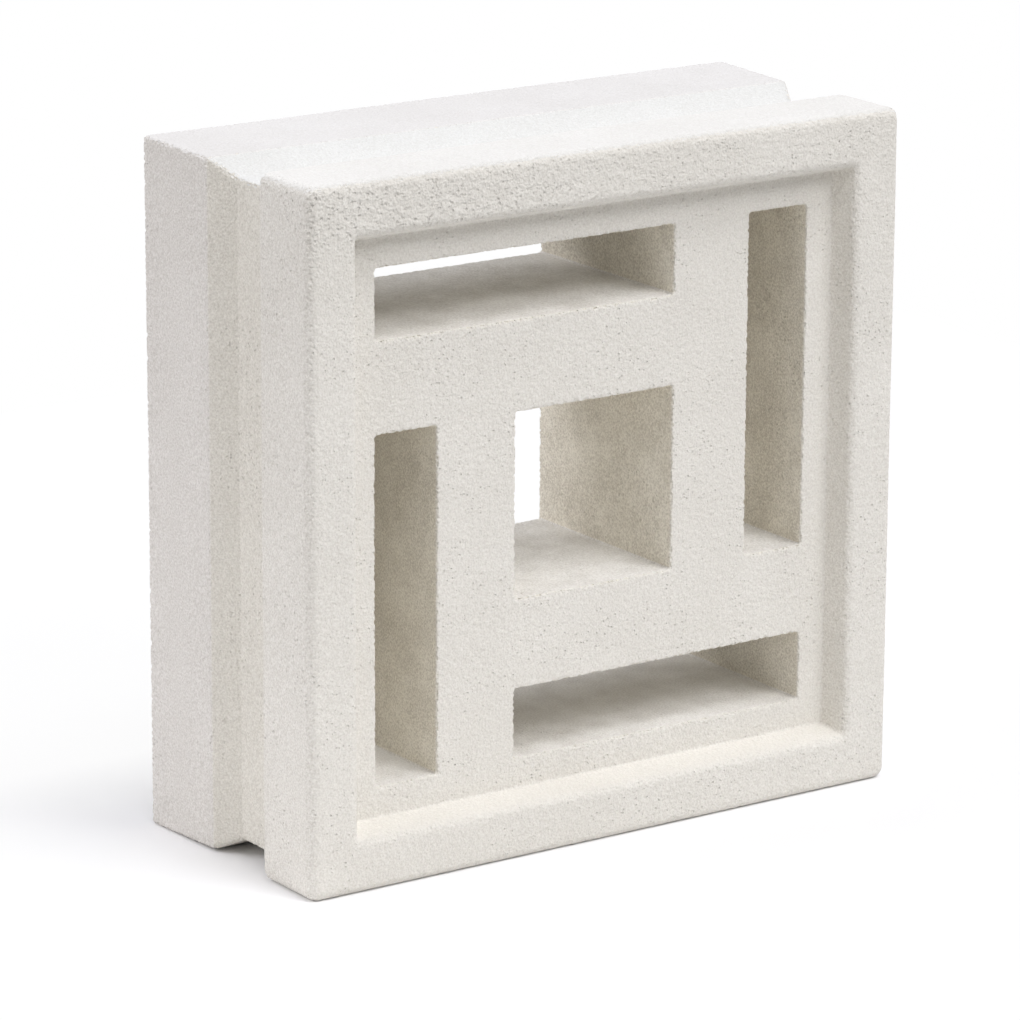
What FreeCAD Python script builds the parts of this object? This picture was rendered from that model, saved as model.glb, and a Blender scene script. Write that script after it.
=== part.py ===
"""Decorative screen block: one square piece of cast concrete, pierced by a pinwheel of cells.

Sizes are in millimetres. The block stands on its bed, with its front towards -Y and +Z up. Its
origin is the middle of the bed. Seen from the front it has a frame with a sunk panel, and behind
the frame a mortar groove runs round all four sides, up a ramp to the ridge of the back slab.
"""
import FreeCAD, Part
import math
import os

import Sketcher

SIZES = [
    ("face_side", 190.0, "width and height of the block"),
    ("block_depth", 80.0, "front rim to back rim"),
    ("frame_depth", 23.0, "thickness of the front frame"),
    ("groove_flat", 18.5, "width of the mortar groove's flat bottom"),
    ("groove_ramp", 8.5, "width of the ramp from the groove up to the slab"),
    ("groove_depth", 5.0, "groove bottom below the frame's sides"),
    ("ridge_inset", 0.8, "draft of the slab's sides, from its back to its ridge"),
    ("rim_width", 14.5, "flat border round a sunk panel"),
    ("recess_slope", 2.4, "how far a recess wall leans in"),
    ("recess_corner", 0.6, "rounding of a recess's corners, seen from the front"),
    ("front_recess", 8.0, "front panel below its rim"),
    ("back_recess", 10.0, "back panel below its rim"),
    ("panel_margin", 8.4, "panel between a recess wall and a bar cell"),
    ("bar_width", 19.2, "bar cell across"),
    ("web_width", 25.0, "web between a bar cell and the centre cell"),
    ("arris_radius", 2.5, "rounding of the frame's front edges and of both rims' inner edges"),
    ("slab_arris_radius", 0.5, "rounding of the slab's back edges"),
    ("corner_extra", 0.5, "how much more the corners are rounded than the edges that meet there"),
]
BAR_CELLS = 4
NEAR = 1e-4
VOLUME_ROUNDING = 1e-5

doc = FreeCAD.newDocument("screen_block")
sheet = doc.addObject("Spreadsheet::Sheet", "Sizes")
for row, (alias, value, meaning) in enumerate(SIZES, start=1):
    sheet.set(f"A{row}", meaning)
    sheet.set(f"B{row}", str(value))
    sheet.setAlias(f"B{row}", alias)
doc.recompute()

body = doc.addObject("PartDesign::Body", "screen_block")
body.Label = "screen_block"
body.setExpression("Placement.Base.z", "Sizes.face_side / 2")
upright_plane = next(f for f in body.Origin.OriginFeatures if f.Role == "XZ_Plane")

# Distances from the block's middle towards the front.
FRONT = "Sizes.block_depth / 2"
BACK = f"(-{FRONT})"
GROOVE_START = f"({FRONT} - Sizes.frame_depth)"
GROOVE_END = f"({GROOVE_START} - Sizes.groove_flat)"
RIDGE = f"({GROOVE_END} - Sizes.groove_ramp)"
FRONT_PANEL = f"({FRONT} - Sizes.front_recess)"
BACK_PANEL = f"({BACK} + Sizes.back_recess)"

# Sides of the squares that the block's sections are made of.
GROOVE_SIDE = "Sizes.face_side - 2 * Sizes.groove_depth"
RIDGE_SIDE = "Sizes.face_side - 2 * Sizes.ridge_inset"
RIM_SIDE = "Sizes.face_side - 2 * Sizes.rim_width"
PANEL_SIDE = f"{RIM_SIDE} - 2 * Sizes.recess_slope"
FRAME_CORNER = "Sizes.arris_radius + Sizes.corner_extra"
RECESS_CORNER = "Sizes.recess_corner"
SLAB_CORNER = "Sizes.slab_arris_radius + Sizes.corner_extra"

# How far the cells' sides lie from the block's middle: a bar cell ends in line with the centre cell.
BAR_FAR = f"({PANEL_SIDE}) / 2 - Sizes.panel_margin"
BAR_NEAR = f"{BAR_FAR} - Sizes.bar_width"
CENTRE_HALF = f"{BAR_NEAR} - Sizes.web_width"


def new_sketch(name, forward):
    """An upright sketch, as far towards the front as the expression says."""
    sketch = body.newObject("Sketcher::SketchObject", name)
    sketch.AttachmentSupport = (upright_plane, [""])
    sketch.MapMode = "FlatFace"
    sketch.setExpression("AttachmentOffset.Base.z", forward)
    return sketch


def relate(sketch, *rules):
    """Add geometric rules, such as two sides being level."""
    for rule in rules:
        sketch.addConstraint(Sketcher.Constraint(*rule))


def drive(sketch, name, expression, *rule):
    """Add a size and bind it to the sheet."""
    index = sketch.addConstraint(Sketcher.Constraint(*rule))
    sketch.renameConstraint(index, name)
    sketch.setExpression(f"Constraints.{name}", expression)


def add_sides(sketch, ends):
    """Top, right, bottom and left sides of a rectangle, drawn clockwise."""
    for (x0, z0), (x1, z1) in ends:
        sketch.addGeometry(Part.LineSegment(FreeCAD.Vector(x0, z0, 0), FreeCAD.Vector(x1, z1, 0)))
    relate(sketch, ("Horizontal", 0), ("Vertical", 1), ("Horizontal", 2), ("Vertical", 3))


def rounded_square(name, forward, side, corner):
    """A square about the block's middle, with rounded corners."""
    sketch = new_sketch(name, forward)
    reach, flat, radius = 50.0, 45.0, 5.0
    add_sides(sketch, [
        ((-flat, reach), (flat, reach)),
        ((reach, flat), (reach, -flat)),
        ((flat, -reach), (-flat, -reach)),
        ((-reach, -flat), (-reach, flat)),
    ])
    for x, z, start in ((flat, flat, 0), (flat, -flat, 270), (-flat, -flat, 180), (-flat, flat, 90)):
        circle = Part.Circle(FreeCAD.Vector(x, z, 0), FreeCAD.Vector(0, 0, 1), radius)
        sketch.addGeometry(Part.ArcOfCircle(circle, math.radians(start), math.radians(start + 90)))
    for i in range(4):
        relate(sketch, ("Tangent", i, 2, 4 + i, 2), ("Tangent", (i + 1) % 4, 1, 4 + i, 1))
    relate(sketch, ("Equal", 4, 5), ("Equal", 5, 6), ("Equal", 6, 7), ("Symmetric", 4, 3, 6, 3, -1, 1))
    drive(sketch, "width", side, "DistanceX", 3, 1, 1, 1, 2 * reach)
    drive(sketch, "height", side, "DistanceY", 2, 1, 0, 1, 2 * reach)
    drive(sketch, "corner", corner, "Radius", 4, radius)
    return sketch


def rectangle(name, left, right, bottom, top):
    """A sharp rectangle on the front plane, its sides placed from the block's middle."""
    sketch = new_sketch(name, FRONT)
    corners = [(-1, 1), (1, 1), (1, -1), (-1, -1)]
    add_sides(sketch, [(corners[i], corners[(i + 1) % 4]) for i in range(4)])
    relate(sketch, *[("Coincident", i, 2, (i + 1) % 4, 1) for i in range(4)])
    drive(sketch, "left", left, "DistanceX", 3, 1, -1, 1, 1)
    drive(sketch, "right", right, "DistanceX", -1, 1, 1, 1, 1)
    drive(sketch, "bottom", bottom, "DistanceY", -1, 1, 2, 1, -1)
    drive(sketch, "top", top, "DistanceY", -1, 1, 0, 1, 1)
    return sketch


def loft(kind, name, first, *others):
    """Straight-sided solid between square sections, added to the block or cut from it."""
    feature = body.newObject(kind, name)
    feature.Profile = first
    feature.Sections = list(others)
    feature.Ruled = True
    doc.recompute()
    return feature


def cut_through(name, sketch):
    """A cell cut straight through from front to back."""
    pocket = body.newObject("PartDesign::Pocket", name)
    pocket.Profile = sketch
    pocket.Type = "ThroughAll"
    doc.recompute()
    return pocket


def edges_in_plane(feature, forward, reach):
    """Names of the edges on one upright plane that lie on the square reaching so far from the middle."""
    names = []
    for number, edge in enumerate(feature.Shape.Edges, start=1):
        points = [vertex.Point for vertex in edge.Vertexes]
        on_plane = all(abs(-point.y - forward) < NEAR for point in points)
        furthest = max(max(abs(point.x), abs(point.z)) for point in points)
        if on_plane and abs(furthest - reach) < NEAR:
            names.append(f"Edge{number}")
    return names


def round_edges(name, feature, names, radius):
    """Round the named edges of the newest feature."""
    rounding = body.newObject("PartDesign::Fillet", name)
    rounding.Base = (feature, names)
    rounding.setExpression("Radius", radius)
    doc.recompute()
    return rounding


frame = body.newObject("PartDesign::Pad", "Frame")
frame.Profile = rounded_square("FrameOutline", FRONT, "Sizes.face_side", FRAME_CORNER)
frame.setExpression("Length", "Sizes.frame_depth")
frame.Reversed = True
doc.recompute()

loft(
    "PartDesign::AdditiveLoft", "GrooveAndSlab",
    rounded_square("GrooveStart", GROOVE_START, GROOVE_SIDE, SLAB_CORNER),
    rounded_square("GrooveEnd", GROOVE_END, GROOVE_SIDE, SLAB_CORNER),
    rounded_square("Ridge", RIDGE, RIDGE_SIDE, SLAB_CORNER),
    rounded_square("SlabBack", BACK, "Sizes.face_side", SLAB_CORNER),
)
loft(
    "PartDesign::SubtractiveLoft", "FrontRecess",
    rounded_square("FrontRim", FRONT, RIM_SIDE, RECESS_CORNER),
    rounded_square("FrontPanel", FRONT_PANEL, PANEL_SIDE, RECESS_CORNER),
)
recessed = loft(
    "PartDesign::SubtractiveLoft", "BackRecess",
    rounded_square("BackRim", BACK, RIM_SIDE, RECESS_CORNER),
    rounded_square("BackPanel", BACK_PANEL, PANEL_SIDE, RECESS_CORNER),
)

half_side = sheet.face_side / 2
half_rim = half_side - sheet.rim_width
half_depth = sheet.block_depth / 2
soft_edges = edges_in_plane(recessed, half_depth, half_side)
soft_edges += edges_in_plane(recessed, half_depth, half_rim)
soft_edges += edges_in_plane(recessed, -half_depth, half_rim)
softened = round_edges("SoftEdges", recessed, soft_edges, "Sizes.arris_radius")
slab_edges = edges_in_plane(softened, -half_depth, half_side)
uncut = round_edges("SlabEdges", softened, slab_edges, "Sizes.slab_arris_radius")

centre_outline = rectangle("CentreOutline", CENTRE_HALF, CENTRE_HALF, f"-({CENTRE_HALF})", CENTRE_HALF)
cut_through("CentreCell", centre_outline)
bar_outline = rectangle("BarOutline", BAR_FAR, CENTRE_HALF, BAR_NEAR, BAR_FAR)
bar_cell = cut_through("BarCell", bar_outline)
pinwheel = body.newObject("PartDesign::PolarPattern", "Pinwheel")
pinwheel.Originals = [bar_cell]
pinwheel.Axis = (bar_outline, ["N_Axis"])
pinwheel.Angle = 360
pinwheel.Occurrences = BAR_CELLS
body.Tip = pinwheel
doc.recompute()

for item in doc.Objects:
    if "Invalid" in item.State or "Error" in item.State:
        raise RuntimeError(f"{item.Name} has state {item.State}")
if body.Shape.isNull() or not body.Shape.isValid() or len(body.Shape.Solids) != 1:
    raise RuntimeError("the block is not one valid solid")

bar_far = half_rim - sheet.recess_slope - sheet.panel_margin
centre_half = bar_far - sheet.bar_width - sheet.web_width
cells_area = (2 * centre_half) ** 2 + BAR_CELLS * (bar_far + centre_half) * sheet.bar_width
panel_depth = sheet.block_depth - sheet.front_recess - sheet.back_recess
expected = cells_area * panel_depth
removed = uncut.Shape.Volume - body.Shape.Volume
if abs(removed - expected) > VOLUME_ROUNDING * expected:
    raise RuntimeError(f"the cells take {removed:.0f} mm3 in place of {expected:.0f}")

os.makedirs("parts", exist_ok=True)
body.Shape.exportStep(f"parts/{body.Label}.step")
print(f"{body.Label}: {body.Shape.Volume / 1000:.1f} cm3, {body.Shape.BoundBox}")
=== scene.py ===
"""Looks of the screen block: a sandy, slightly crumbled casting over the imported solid, on a pale floor.

Everything is in metres, in the solid's own frame: the front is towards -Y and +Z is up.
"""
import functools
import itertools
import math

import bmesh
import bpy
import numpy as np
from mathutils import Matrix, Vector, kdtree


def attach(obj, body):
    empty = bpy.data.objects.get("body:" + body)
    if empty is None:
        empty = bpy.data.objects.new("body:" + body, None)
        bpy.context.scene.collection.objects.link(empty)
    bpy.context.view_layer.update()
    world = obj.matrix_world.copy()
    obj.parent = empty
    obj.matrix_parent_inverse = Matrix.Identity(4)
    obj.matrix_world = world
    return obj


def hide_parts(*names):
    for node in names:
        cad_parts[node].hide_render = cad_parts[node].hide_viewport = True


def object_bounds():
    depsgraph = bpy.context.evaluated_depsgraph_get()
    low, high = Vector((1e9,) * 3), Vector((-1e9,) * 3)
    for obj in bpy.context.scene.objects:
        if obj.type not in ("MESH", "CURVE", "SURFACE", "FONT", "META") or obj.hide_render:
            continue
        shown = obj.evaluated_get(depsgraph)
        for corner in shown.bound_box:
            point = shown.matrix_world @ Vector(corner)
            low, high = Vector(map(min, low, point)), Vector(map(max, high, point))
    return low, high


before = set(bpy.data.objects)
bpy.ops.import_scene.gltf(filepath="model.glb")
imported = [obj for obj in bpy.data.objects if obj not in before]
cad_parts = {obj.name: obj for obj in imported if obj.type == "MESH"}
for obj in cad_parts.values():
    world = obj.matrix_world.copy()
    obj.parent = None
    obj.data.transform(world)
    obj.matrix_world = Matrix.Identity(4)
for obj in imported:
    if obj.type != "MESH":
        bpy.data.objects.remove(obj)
cad_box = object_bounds()

NODE = "screen_block"
LOW, HIGH = (Vector(corner) for corner in cad_box)
MIDDLE = (LOW + HIGH) / 2
SEED = 2458
MM = 0.001

# The photograph's camera: its place, the way it looks, its roll and its lens.
EYE = Vector((-824.3, -1176.6, 479.7)) * MM
VIEW_AZIMUTH = -34.85
VIEW_ELEVATION = 15.45
VIEW_ROLL = 0.28
LENS_MM = 194.1
SENSOR_MM = 36.0

# The casting's mesh, and the wear and chips along its edges.
WELD = 0.001 * MM
GRID = 0.38 * MM
TRIANGLES = 197000
SMOOTHING_ROUNDS = 3
EDGE_BULGE = 0.1 * MM
WEAR_SIZE = 0.75 * MM
WEAR_MEAN = 0.3
WEAR_SPREAD = 0.8
CHIP_SIZE = 0.62 * MM
CHIP_DEPTH = 0.85 * MM
CHIP_CONTRAST = 2
WAVE_SIZE = 32.0 * MM
WAVE_HEIGHT = 0.08 * MM

# Pits pressed into the mesh. There are more of them on the upper half of the front's left arris.
PITS = 420
PIT_RADIUS = (0.35 * MM, 0.65 * MM)
PIT_DEPTH = 0.5
PIT_CUTOFF = 0.1
ARRIS_X = -94.2 * MM
ARRIS_Y = -39.2 * MM
ARRIS_WIDTH = 0.5 * MM
ARRIS_FOOT = 100 * MM
ARRIS_WEIGHT = 2

# Zones of the block that differ in grain and colour. A pair is where a zone's soft border starts and ends.
CENTRE_Z = 95 * MM
CELLS_HALF = 72 * MM
CELLS_Y = -1 * MM
CELLS_HALF_DEPTH = 31 * MM
CELLS_BORDER = 1 * MM
COARSE_X = (-80 * MM, 80 * MM)
COARSE_Y = (-39 * MM, -37 * MM)
COARSE_Z = (168 * MM, 178 * MM)
COARSE_RIGHT = 0.2
SKIN_REACH = (86 * MM, 88 * MM)
SLAB_Y = (9.8 * MM, 10.2 * MM)
GROOVE_Y = -3.5 * MM
GROOVE_HALF = 13.4 * MM
GROOVE_BORDER = 0.4 * MM
FACING = (0.3, 0.8)
FACING_FRONT = (0.6, 0.8)

# The concrete's grain: sizes and noise octaves, how much each shows in colour, and how high it stands.
SAND_SIZE, SAND_DETAIL = 0.55 * MM, 1.0
LUMP_SIZE, LUMP_DETAIL = 1.4 * MM, 1.0
MOTTLE_SIZE, MOTTLE_DETAIL = 30 * MM, 2.0
STAIN_SIZE, STAIN_DETAIL = 11 * MM, 2.0
PATCH_SIZE, PATCH_DETAIL = 14 * MM, 0.0
NOISE_ROUGHNESS = 0.6
NOISE_MEAN = 0.5
BASE_TONE = 0.4
MOTTLE_TONE = 0.2
STAIN_TONE = 0.7
# Painted shade: how much darker the small holes are made in colour.
HOLE_PAINTED_SHADE = 0.14
SPECKLE_TONE = 0.7
SPECKLE_MORE = {"cell_wall_painted_shade": 0.55, "side": 0.35, "ground": 0.2, "top": -0.25}
RELIEF = 0.46 * MM
SAND_RELIEF = 0.45
LUMP_RELIEF = 0.75
LUMP_RELIEF_COARSE = 0.85
HOLE_RELIEF = 0.65

# Small round holes in the grain: they come in patches, and few are on faces that look up.
HOLE_SIZE = 1.3 * MM
HOLE_SHARE = 0.55
HOLE_SHARE_BORDER = 0.05
HOLE_REACH = 0.29
HOLE_REACH_COARSE = 0.14
HOLE_BOTTOM = 0.2
PATCH_NOISE = (0.35, 0.65)
PATCH_LEAST = 0.2
HOLES_ON_TOP = 0.15

# Colours of the concrete: its darkest and palest tones, and what each zone is multiplied by. Some of these
# tints are painted shade or painted overhead light, as marked.
DARK_TONE, DARK = 0.15, (0.68, 0.645, 0.578, 1)
PALE_TONE, PALE = 0.85, (1.0, 0.975, 0.912, 1)
TINTS = {
    # Painted shade: the cell walls are made darker and warmer, as the light bounced inside the cells would
    # make them.
    "cell_wall_painted_shade": (1.0, 0.98, 0.925, 1),
    # Painted overhead light: the cell floors, which look up, are made a little cooler.
    "ground": (0.965, 0.975, 1.0, 1),
    # Painted overhead light: the outer faces that look up are made cooler, as the strong light from above
    # bleaches them.
    "skin_top_painted_light": (0.945, 0.965, 1.0, 1),
    "slab": (0.955, 0.95, 0.965, 1),
    # Painted shade: the groove round the sides and top is made darker, where the frame's step shades it; it
    # is warmer on the sides.
    "groove_top_painted_shade": (0.96, 0.975, 0.99, 1),
    "groove_side_painted_shade": (0.955, 0.95, 0.928, 1),
}
CONCRETE_ROUGHNESS = 0.95
CONCRETE_SPECULAR = 0.2

# The floor: how pale it is where it lights the block, and how its white grows with the gap to the block.
FLOOR_HALF = 0.45
PAPER_TONE = 0.85
GLOW_GAP = 55 * MM
GLOW_SHARE = 0.88

# Strip lamps: degrees round from the front towards the right, up, wide and tall, then strength and colour.
WHITE = (1.0, 1.0, 1.035)
ROSY = (1.0, 0.985, 1.03)
COOL = (0.95, 0.99, 1.11)
LAMPS = {
    "key_high": (21, 66, 60, 9, 0.513, WHITE),
    "key_low": (21, 41, 30, 20, 0.426, WHITE),
    "left": (-120, 36, 36, 30, 0.398, ROSY),
    "left_low": (-98, 15, 40, 24, 0.075, ROSY),
    "left_front": (-70, 20, 36, 30, 0.05, ROSY),
    "behind_high": (180, 78, 50, 8, 0.06, COOL),
    "behind": (180, 45, 50, 30, 0.1, COOL),
    "behind_low": (180, 15, 50, 24, 0.145, COOL),
    "right_low": (110, 12, 40, 20, 0.12, COOL),
}
LAMP_REACH = 2.2
WORLD_LEVEL = 0.12
WORLD_COLOUR = (1.0, 0.97, 0.9, 1)
FULL_WHITE = (1, 1, 1, 1)

# The mesh's own noise: how many values it draws, and how a place in space picks one of them.
NOISE_VALUES = 8192
NOISE_PRIMES = (73856093, 19349663, 83492791)
NOISE_ORIGIN = 1000

random = np.random.default_rng(SEED)
noise_table = random.uniform(-1, 1, NOISE_VALUES)


def smooth_noise(points, size):
    """Noise from -1 to 1 whose bumps are about as large as the size says."""
    scaled = points / size + NOISE_ORIGIN
    cell = np.floor(scaled).astype(np.int64)
    part = scaled - cell
    part = part * part * (3 - 2 * part)
    total = np.zeros(len(points))
    for corner in itertools.product((0, 1), repeat=3):
        weight = np.prod(np.where(corner, part, 1 - part), axis=1)
        x, y, z = ((cell + corner) * NOISE_PRIMES).T
        total += weight * noise_table[(x ^ y ^ z) % len(noise_table)]
    return total


def read_vectors(items, field):
    """A field of three numbers of every vertex or normal, as an array."""
    values = np.empty(len(items) * 3, np.float32)
    items.foreach_get(field, values)
    return values.reshape(-1, 3).astype(float)


def read_edges(mesh):
    edges = np.empty(len(mesh.edges) * 2, np.int32)
    mesh.edges.foreach_get("vertices", edges)
    return edges.reshape(-1, 2)


def evaluated_copy(source):
    """The mesh that an object shows, with its modifiers in it."""
    graph = bpy.context.evaluated_depsgraph_get()
    return bpy.data.meshes.new_from_object(source.evaluated_get(graph))


def link(name, data):
    made = bpy.data.objects.new(name, data)
    bpy.context.scene.collection.objects.link(made)
    return made


def dense_copy(node):
    """A closed, evenly meshed copy of a CAD node."""
    source = link("dense", node.data.copy())
    shape = bmesh.new()
    shape.from_mesh(source.data)
    bmesh.ops.remove_doubles(shape, verts=shape.verts, dist=WELD)
    shape.to_mesh(source.data)
    shape.free()
    remesh = source.modifiers.new("even", "REMESH")
    remesh.mode = "VOXEL"
    remesh.voxel_size = GRID
    mesh = evaluated_copy(source)
    bpy.data.objects.remove(source)
    return mesh


def rounded(points, edges):
    """The points drawn towards their neighbours, which rounds every edge."""
    first, second = edges.T
    count = np.bincount(edges.ravel(), minlength=len(points))[:, None]
    for _ in range(SMOOTHING_ROUNDS):
        total = np.stack([
            np.bincount(first, points[second, axis], len(points))
            + np.bincount(second, points[first, axis], len(points))
            for axis in range(3)
        ], axis=1)
        points = (points + total / count) / 2
    return points


def press_pits(points, normals, weights):
    """Small round pits, pressed in at random where the weights are high."""
    near = np.flatnonzero(weights > PIT_CUTOFF * weights.max())
    tree = kdtree.KDTree(len(near))
    for index in near:
        tree.insert(points[index], index)
    tree.balance()
    pressed = np.zeros(len(points))
    chances = weights[near] / weights[near].sum()
    for centre in random.choice(near, PITS, p=chances):
        radius = random.uniform(*PIT_RADIUS)
        for _, index, distance in tree.find_range(points[centre], radius):
            depth = PIT_DEPTH * radius * (1 - (distance / radius) ** 2)
            pressed[index] = max(pressed[index], depth)
    return points - normals * pressed[:, None]


def thinned(mesh):
    """The mesh with fewer triangles where it is flat."""
    source = link("thinned", mesh)
    decimate = source.modifiers.new("thin", "DECIMATE")
    decimate.ratio = TRIANGLES / (2 * len(mesh.polygons))
    decimate.use_collapse_triangulate = True
    result = evaluated_copy(source)
    bpy.data.objects.remove(source)
    return result


def cast_mesh(node):
    """The casting: the solid with crumbled edges, pits and a faint waviness."""
    mesh = dense_copy(node)
    points = read_vectors(mesh.vertices, "co")
    normals = read_vectors(mesh.vertex_normals, "vector")
    worn = rounded(points, read_edges(mesh))
    bulge = np.einsum("ij,ij->i", points - worn, normals)
    edge = np.clip(bulge / EDGE_BULGE, 0, 1)
    wear = np.clip(WEAR_MEAN + WEAR_SPREAD * smooth_noise(points, WEAR_SIZE), 0, 1) * (bulge > 0)
    chips = CHIP_DEPTH * edge * np.clip(CHIP_CONTRAST * smooth_noise(points, CHIP_SIZE), 0, 1)
    points = points + (worn - points) * wear[:, None] - normals * chips[:, None]
    points = points + normals * (WAVE_HEIGHT * smooth_noise(points, WAVE_SIZE))[:, None]
    from_arris = np.hypot(points[:, 0] - ARRIS_X, points[:, 1] - ARRIS_Y)
    arris = np.exp(-(from_arris / ARRIS_WIDTH) ** 2) * (points[:, 2] > ARRIS_FOOT)
    points = press_pits(points, normals, edge + ARRIS_WEIGHT * arris)
    mesh.vertices.foreach_set("co", points.astype(np.float32).ravel())
    mesh.update()
    result = thinned(mesh)
    result.shade_flat()
    return result


class Graph:
    """A node tree, with short ways to add nodes. A value is a number, a colour or another node's output."""

    def __init__(self, owner):
        owner.use_nodes = True
        self.tree = owner.node_tree
        self.nodes = self.tree.nodes

    def join(self, output, socket):
        self.tree.links.new(output, socket)

    def add(self, kind, inputs=None, **settings):
        made = self.nodes.new(kind)
        for name, value in settings.items():
            setattr(made, name, value)
        for socket, value in (inputs or {}).items():
            if isinstance(value, bpy.types.NodeSocket):
                self.join(value, made.inputs[socket])
            else:
                made.inputs[socket].default_value = value
        return made

    def calc(self, kind, first, second=0.0):
        return self.add("ShaderNodeMath", {0: first, 1: second}, operation=kind).outputs[0]

    def times(self, *values):
        return functools.reduce(functools.partial(self.calc, "MULTIPLY"), values)

    def plus(self, *values):
        return functools.reduce(functools.partial(self.calc, "ADD"), values)

    def minus(self, first, second):
        return self.calc("SUBTRACT", first, second)

    def larger(self, first, second):
        return self.calc("MAXIMUM", first, second)

    def absolute(self, value):
        return self.calc("ABSOLUTE", value)

    def away(self, value, middle):
        return self.absolute(self.minus(value, middle))

    def ramp(self, value, border, ends=(0.0, 1.0), kind="SMOOTHSTEP"):
        """The first end before the border, the second one after it, and a passage between them."""
        (low, high), (first, last) = border, ends
        inputs = {"Value": value, "From Min": low, "From Max": high, "To Min": first, "To Max": last}
        return self.add("ShaderNodeMapRange", inputs, interpolation_type=kind).outputs["Result"]

    def fade(self, value, border):
        return self.ramp(value, border, (1.0, 0.0))

    def band(self, value, middle, half, border):
        """One within half a width of the middle, none outside it."""
        return self.fade(self.away(value, middle), (half - border, half))

    def parts(self, vector):
        return self.add("ShaderNodeSeparateXYZ", {"Vector": vector}).outputs

    def place(self):
        return self.add("ShaderNodeTexCoord").outputs["Object"]

    def camera_ray(self):
        return self.add("ShaderNodeLightPath").outputs["Is Camera Ray"]

    def noise(self, place, size, detail):
        inputs = {"Vector": place, "Scale": 1 / size, "Detail": detail, "Roughness": NOISE_ROUGHNESS}
        return self.add("ShaderNodeTexNoise", inputs).outputs["Fac"]

    def mix(self, share, first, second, blend="MIX"):
        inputs = {0: share, 6: first, 7: second}
        return self.add("ShaderNodeMix", inputs, data_type="RGBA", blend_type=blend).outputs[2]


def block_zones(graph, place):
    """Where on the block a point is: each zone is one inside it and none outside it."""
    axes = graph.parts(place)
    faces = graph.parts(graph.add("ShaderNodeNewGeometry").outputs["True Normal"])
    upward = graph.ramp(faces["Z"], FACING)
    cell = graph.times(
        graph.band(axes["X"], 0.0, CELLS_HALF, CELLS_BORDER),
        graph.band(axes["Z"], CENTRE_Z, CELLS_HALF, CELLS_BORDER),
        graph.band(axes["Y"], CELLS_Y, CELLS_HALF_DEPTH, CELLS_BORDER),
    )
    # The cell floors, which look up; their cool tint is painted overhead light.
    ground = graph.times(cell, upward)
    top = graph.minus(upward, ground)
    reach = graph.larger(graph.absolute(axes["X"]), graph.away(axes["Z"], CENTRE_Z))
    not_front = graph.fade(graph.absolute(faces["Y"]), FACING_FRONT)
    skin = graph.times(graph.ramp(reach, SKIN_REACH), not_front)
    # The groove round the block's sides and top; its tints are painted shade.
    groove = graph.times(skin, graph.band(axes["Y"], GROOVE_Y, GROOVE_HALF, GROOVE_BORDER))
    groove_top_painted_shade = graph.times(groove, top)
    return {
        "coarse": graph.times(
            graph.ramp(axes["Z"], COARSE_Z),
            graph.ramp(axes["X"], COARSE_X, (1.0, COARSE_RIGHT)),
            graph.fade(axes["Y"], COARSE_Y),
        ),
        "cell": cell,
        # The cell walls; their warm tint is painted shade.
        "cell_wall_painted_shade": graph.times(cell, graph.minus(1.0, upward)),
        "ground": ground,
        "top": top,
        "side": graph.ramp(graph.absolute(faces["X"]), FACING),
        # Outer faces that look up; their cool tint is painted overhead light.
        "skin_top_painted_light": graph.times(top, skin),
        "slab": graph.times(skin, graph.ramp(axes["Y"], SLAB_Y)),
        "groove_top_painted_shade": groove_top_painted_shade,
        "groove_side_painted_shade": graph.minus(groove, groove_top_painted_shade),
    }


def small_holes(graph, place, zones):
    """Small round holes in some of the grain's cells, larger where the grain is coarse."""
    cells = graph.add("ShaderNodeTexVoronoi", {"Vector": place, "Scale": 1 / HOLE_SIZE}).outputs
    lot = graph.add("ShaderNodeSeparateColor", {"Color": cells["Color"]}).outputs[0]
    last_lot = 1 - HOLE_SHARE
    chosen = graph.ramp(lot, (last_lot - HOLE_SHARE_BORDER, last_lot + HOLE_SHARE_BORDER))
    reach = graph.plus(graph.times(zones["coarse"], HOLE_REACH_COARSE), HOLE_REACH)
    hole = graph.fade(cells["Distance"], (graph.times(reach, HOLE_BOTTOM), reach))
    patches = graph.ramp(graph.noise(place, PATCH_SIZE, PATCH_DETAIL), PATCH_NOISE, (PATCH_LEAST, 1.0))
    amount = graph.larger(patches, zones["coarse"])
    amount = graph.times(amount, graph.ramp(zones["top"], (0.0, 1.0), (1.0, HOLES_ON_TOP)))
    return graph.times(hole, chosen, amount)


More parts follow.
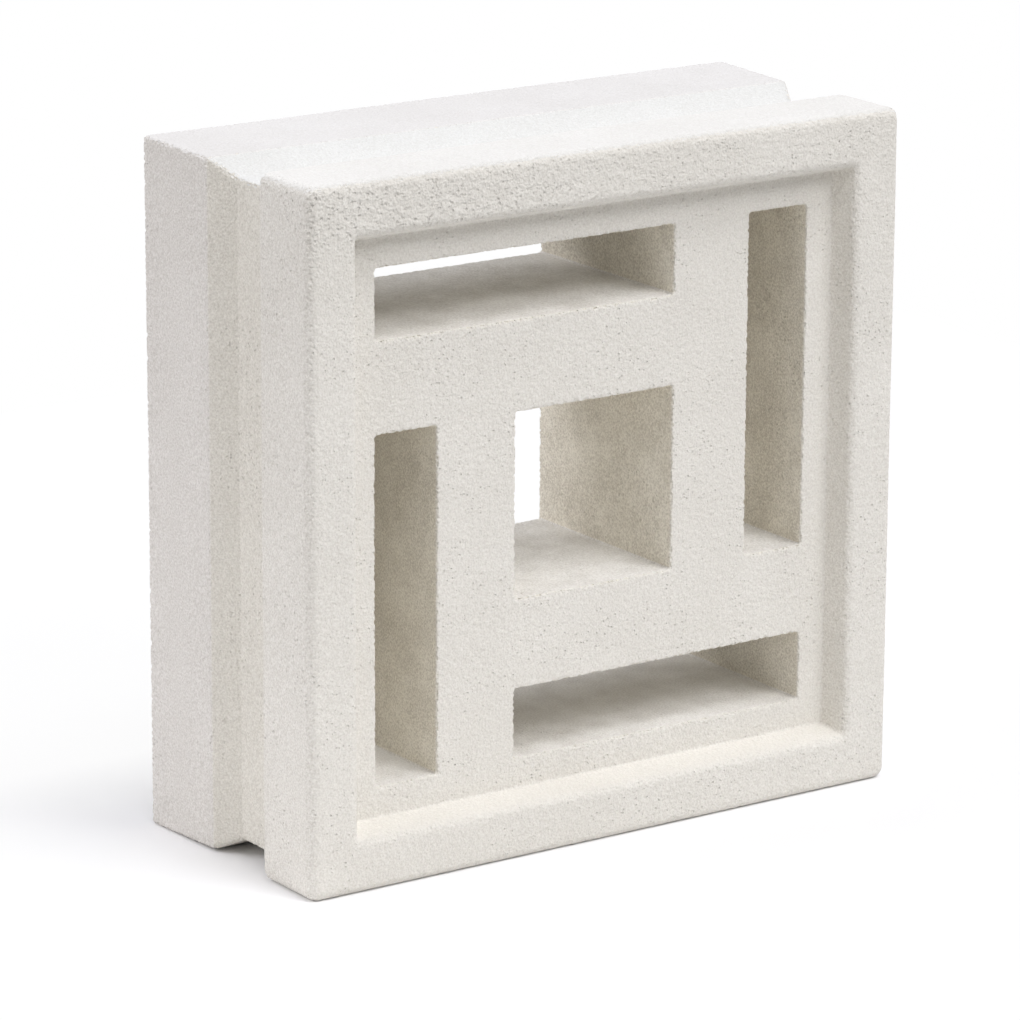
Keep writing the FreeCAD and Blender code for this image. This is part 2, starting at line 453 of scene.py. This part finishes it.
def concrete():
    """Off-white, fine sandy concrete with small holes, coarser along the top of the front. Its colour holds
    painted shade in the holes, on the cell walls and in the groove, and painted overhead light on faces
    that look up.
    """
    material = bpy.data.materials.new("cast_concrete")
    graph = Graph(material)
    shader = graph.nodes["Principled BSDF"].inputs
    place = graph.place()
    zones = block_zones(graph, place)
    holes = small_holes(graph, place, zones)
    sand = graph.noise(place, SAND_SIZE, SAND_DETAIL)
    lumps = graph.noise(place, LUMP_SIZE, LUMP_DETAIL)
    mottle = graph.noise(place, MOTTLE_SIZE, MOTTLE_DETAIL)
    stains = graph.noise(place, STAIN_SIZE, STAIN_DETAIL)

    more = (graph.times(zones[name], share) for name, share in SPECKLE_MORE.items())
    tone = graph.plus(
        graph.times(mottle, MOTTLE_TONE),
        graph.times(graph.minus(sand, NOISE_MEAN), graph.plus(*more, SPECKLE_TONE)),
        graph.times(graph.minus(stains, NOISE_MEAN), zones["cell"], STAIN_TONE),
        BASE_TONE,
    )
    # Painted shade: the small holes are made darker in colour.
    tone = graph.minus(tone, graph.times(holes, HOLE_PAINTED_SHADE))
    shades = graph.add("ShaderNodeValToRGB", {"Fac": tone})
    dark, pale = shades.color_ramp.elements
    dark.position, dark.color = DARK_TONE, DARK
    pale.position, pale.color = PALE_TONE, PALE
    colour = shades.outputs["Color"]
    # Tints per zone: those on the cell walls and the groove are painted shade, and those on faces that look
    # up are painted overhead light.
    for name, tint in TINTS.items():
        colour = graph.mix(zones[name], colour, tint, "MULTIPLY")
    graph.join(colour, shader["Base Color"])

    lump_relief = graph.plus(graph.times(zones["coarse"], LUMP_RELIEF_COARSE), LUMP_RELIEF)
    height = graph.plus(graph.times(sand, SAND_RELIEF), graph.times(lumps, lump_relief))
    height = graph.minus(height, graph.times(holes, HOLE_RELIEF))
    bump = graph.add("ShaderNodeBump", {"Height": height, "Distance": RELIEF, "Strength": 1.0})
    graph.join(bump.outputs["Normal"], shader["Normal"])
    shader["Roughness"].default_value = CONCRETE_ROUGHNESS
    shader["Specular IOR Level"].default_value = CONCRETE_SPECULAR
    return material


def paper():
    """White paper, which the camera sees a little whiter than it lights the block."""
    material = bpy.data.materials.new("white_paper")
    graph = Graph(material)
    sheet = graph.nodes["Principled BSDF"]
    sheet.inputs["Roughness"].default_value = 1.0
    sheet.inputs["Specular IOR Level"].default_value = 0.0
    ray = graph.camera_ray()
    tone = graph.ramp(ray, (0.0, 1.0), (PAPER_TONE, 1.0), "LINEAR")
    graph.join(tone, sheet.inputs["Base Color"])
    glow = graph.add("ShaderNodeEmission", {"Color": FULL_WHITE, "Strength": 1.0})
    axes = graph.parts(graph.place())
    gap = graph.larger(
        graph.minus(graph.absolute(axes["X"]), HIGH.x),
        graph.minus(graph.absolute(axes["Y"]), HIGH.y),
    )
    share = graph.times(graph.ramp(gap, (0.0, GLOW_GAP), (0.0, GLOW_SHARE), "LINEAR"), ray)
    seen = graph.add("ShaderNodeMixShader", {0: share, 1: sheet.outputs[0], 2: glow.outputs[0]})
    graph.join(seen.outputs[0], graph.nodes["Material Output"].inputs["Surface"])
    return material


def make_block():
    block = link("cast_block", cast_mesh(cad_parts[NODE]))
    block.data.materials.clear()
    block.data.materials.append(concrete())
    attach(block, "root")
    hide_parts(NODE)


def make_floor():
    half = FLOOR_HALF
    corners = [(-half, -half, 0), (half, -half, 0), (half, half, 0), (-half, half, 0)]
    mesh = bpy.data.meshes.new("floor")
    mesh.from_pydata(corners, [], [(0, 1, 2, 3)])
    floor = link("floor", mesh)
    mesh.materials.append(paper())


def direction(turn, height):
    """The way to something that is so far round from the front, and so far up, in radians."""
    return Vector((
        math.sin(turn) * math.cos(height), -math.cos(turn) * math.cos(height), math.sin(height),
    ))


def make_sky():
    """A weak, warm light from all round, which the camera sees as white."""
    world = bpy.data.worlds.new("studio")
    bpy.context.scene.world = world
    graph = Graph(world)
    sky = graph.nodes["Background"].inputs
    ray = graph.camera_ray()
    graph.join(graph.mix(ray, WORLD_COLOUR, FULL_WHITE), sky["Color"])
    graph.join(graph.ramp(ray, (0.0, 1.0), (WORLD_LEVEL, 1.0), "LINEAR"), sky["Strength"])


def make_lamps():
    for name, (*angles, strength, colour) in LAMPS.items():
        turn, height, wide, tall = (math.radians(angle) for angle in angles)
        lamp = bpy.data.lights.new(name, "AREA")
        lamp.shape = "RECTANGLE"
        lamp.size = 2 * LAMP_REACH * math.tan(wide / 2)
        lamp.size_y = 2 * LAMP_REACH * math.tan(tall / 2)
        lamp.energy = strength * (math.pi * LAMP_REACH) ** 2
        lamp.color = colour
        towards = direction(turn, height)
        holder = link(name, lamp)
        holder.location = MIDDLE + towards * LAMP_REACH
        holder.rotation_euler = (-towards).to_track_quat("-Z", "Y").to_euler()
        holder.visible_camera = False


def make_camera():
    camera = link("camera", bpy.data.cameras.new("camera"))
    camera.data.lens = LENS_MM
    camera.data.sensor_width = SENSOR_MM
    back = direction(math.radians(VIEW_AZIMUTH), math.radians(VIEW_ELEVATION))
    roll = Matrix.Rotation(math.radians(VIEW_ROLL), 3, "Z")
    turn = (-back).to_track_quat("-Z", "Y").to_matrix() @ roll
    camera.matrix_world = Matrix.Translation(EYE) @ turn.to_4x4()
    bpy.context.scene.camera = camera


make_block()
make_floor()
make_sky()
make_lamps()
make_camera()
bpy.context.scene.view_settings.view_transform = "Standard"
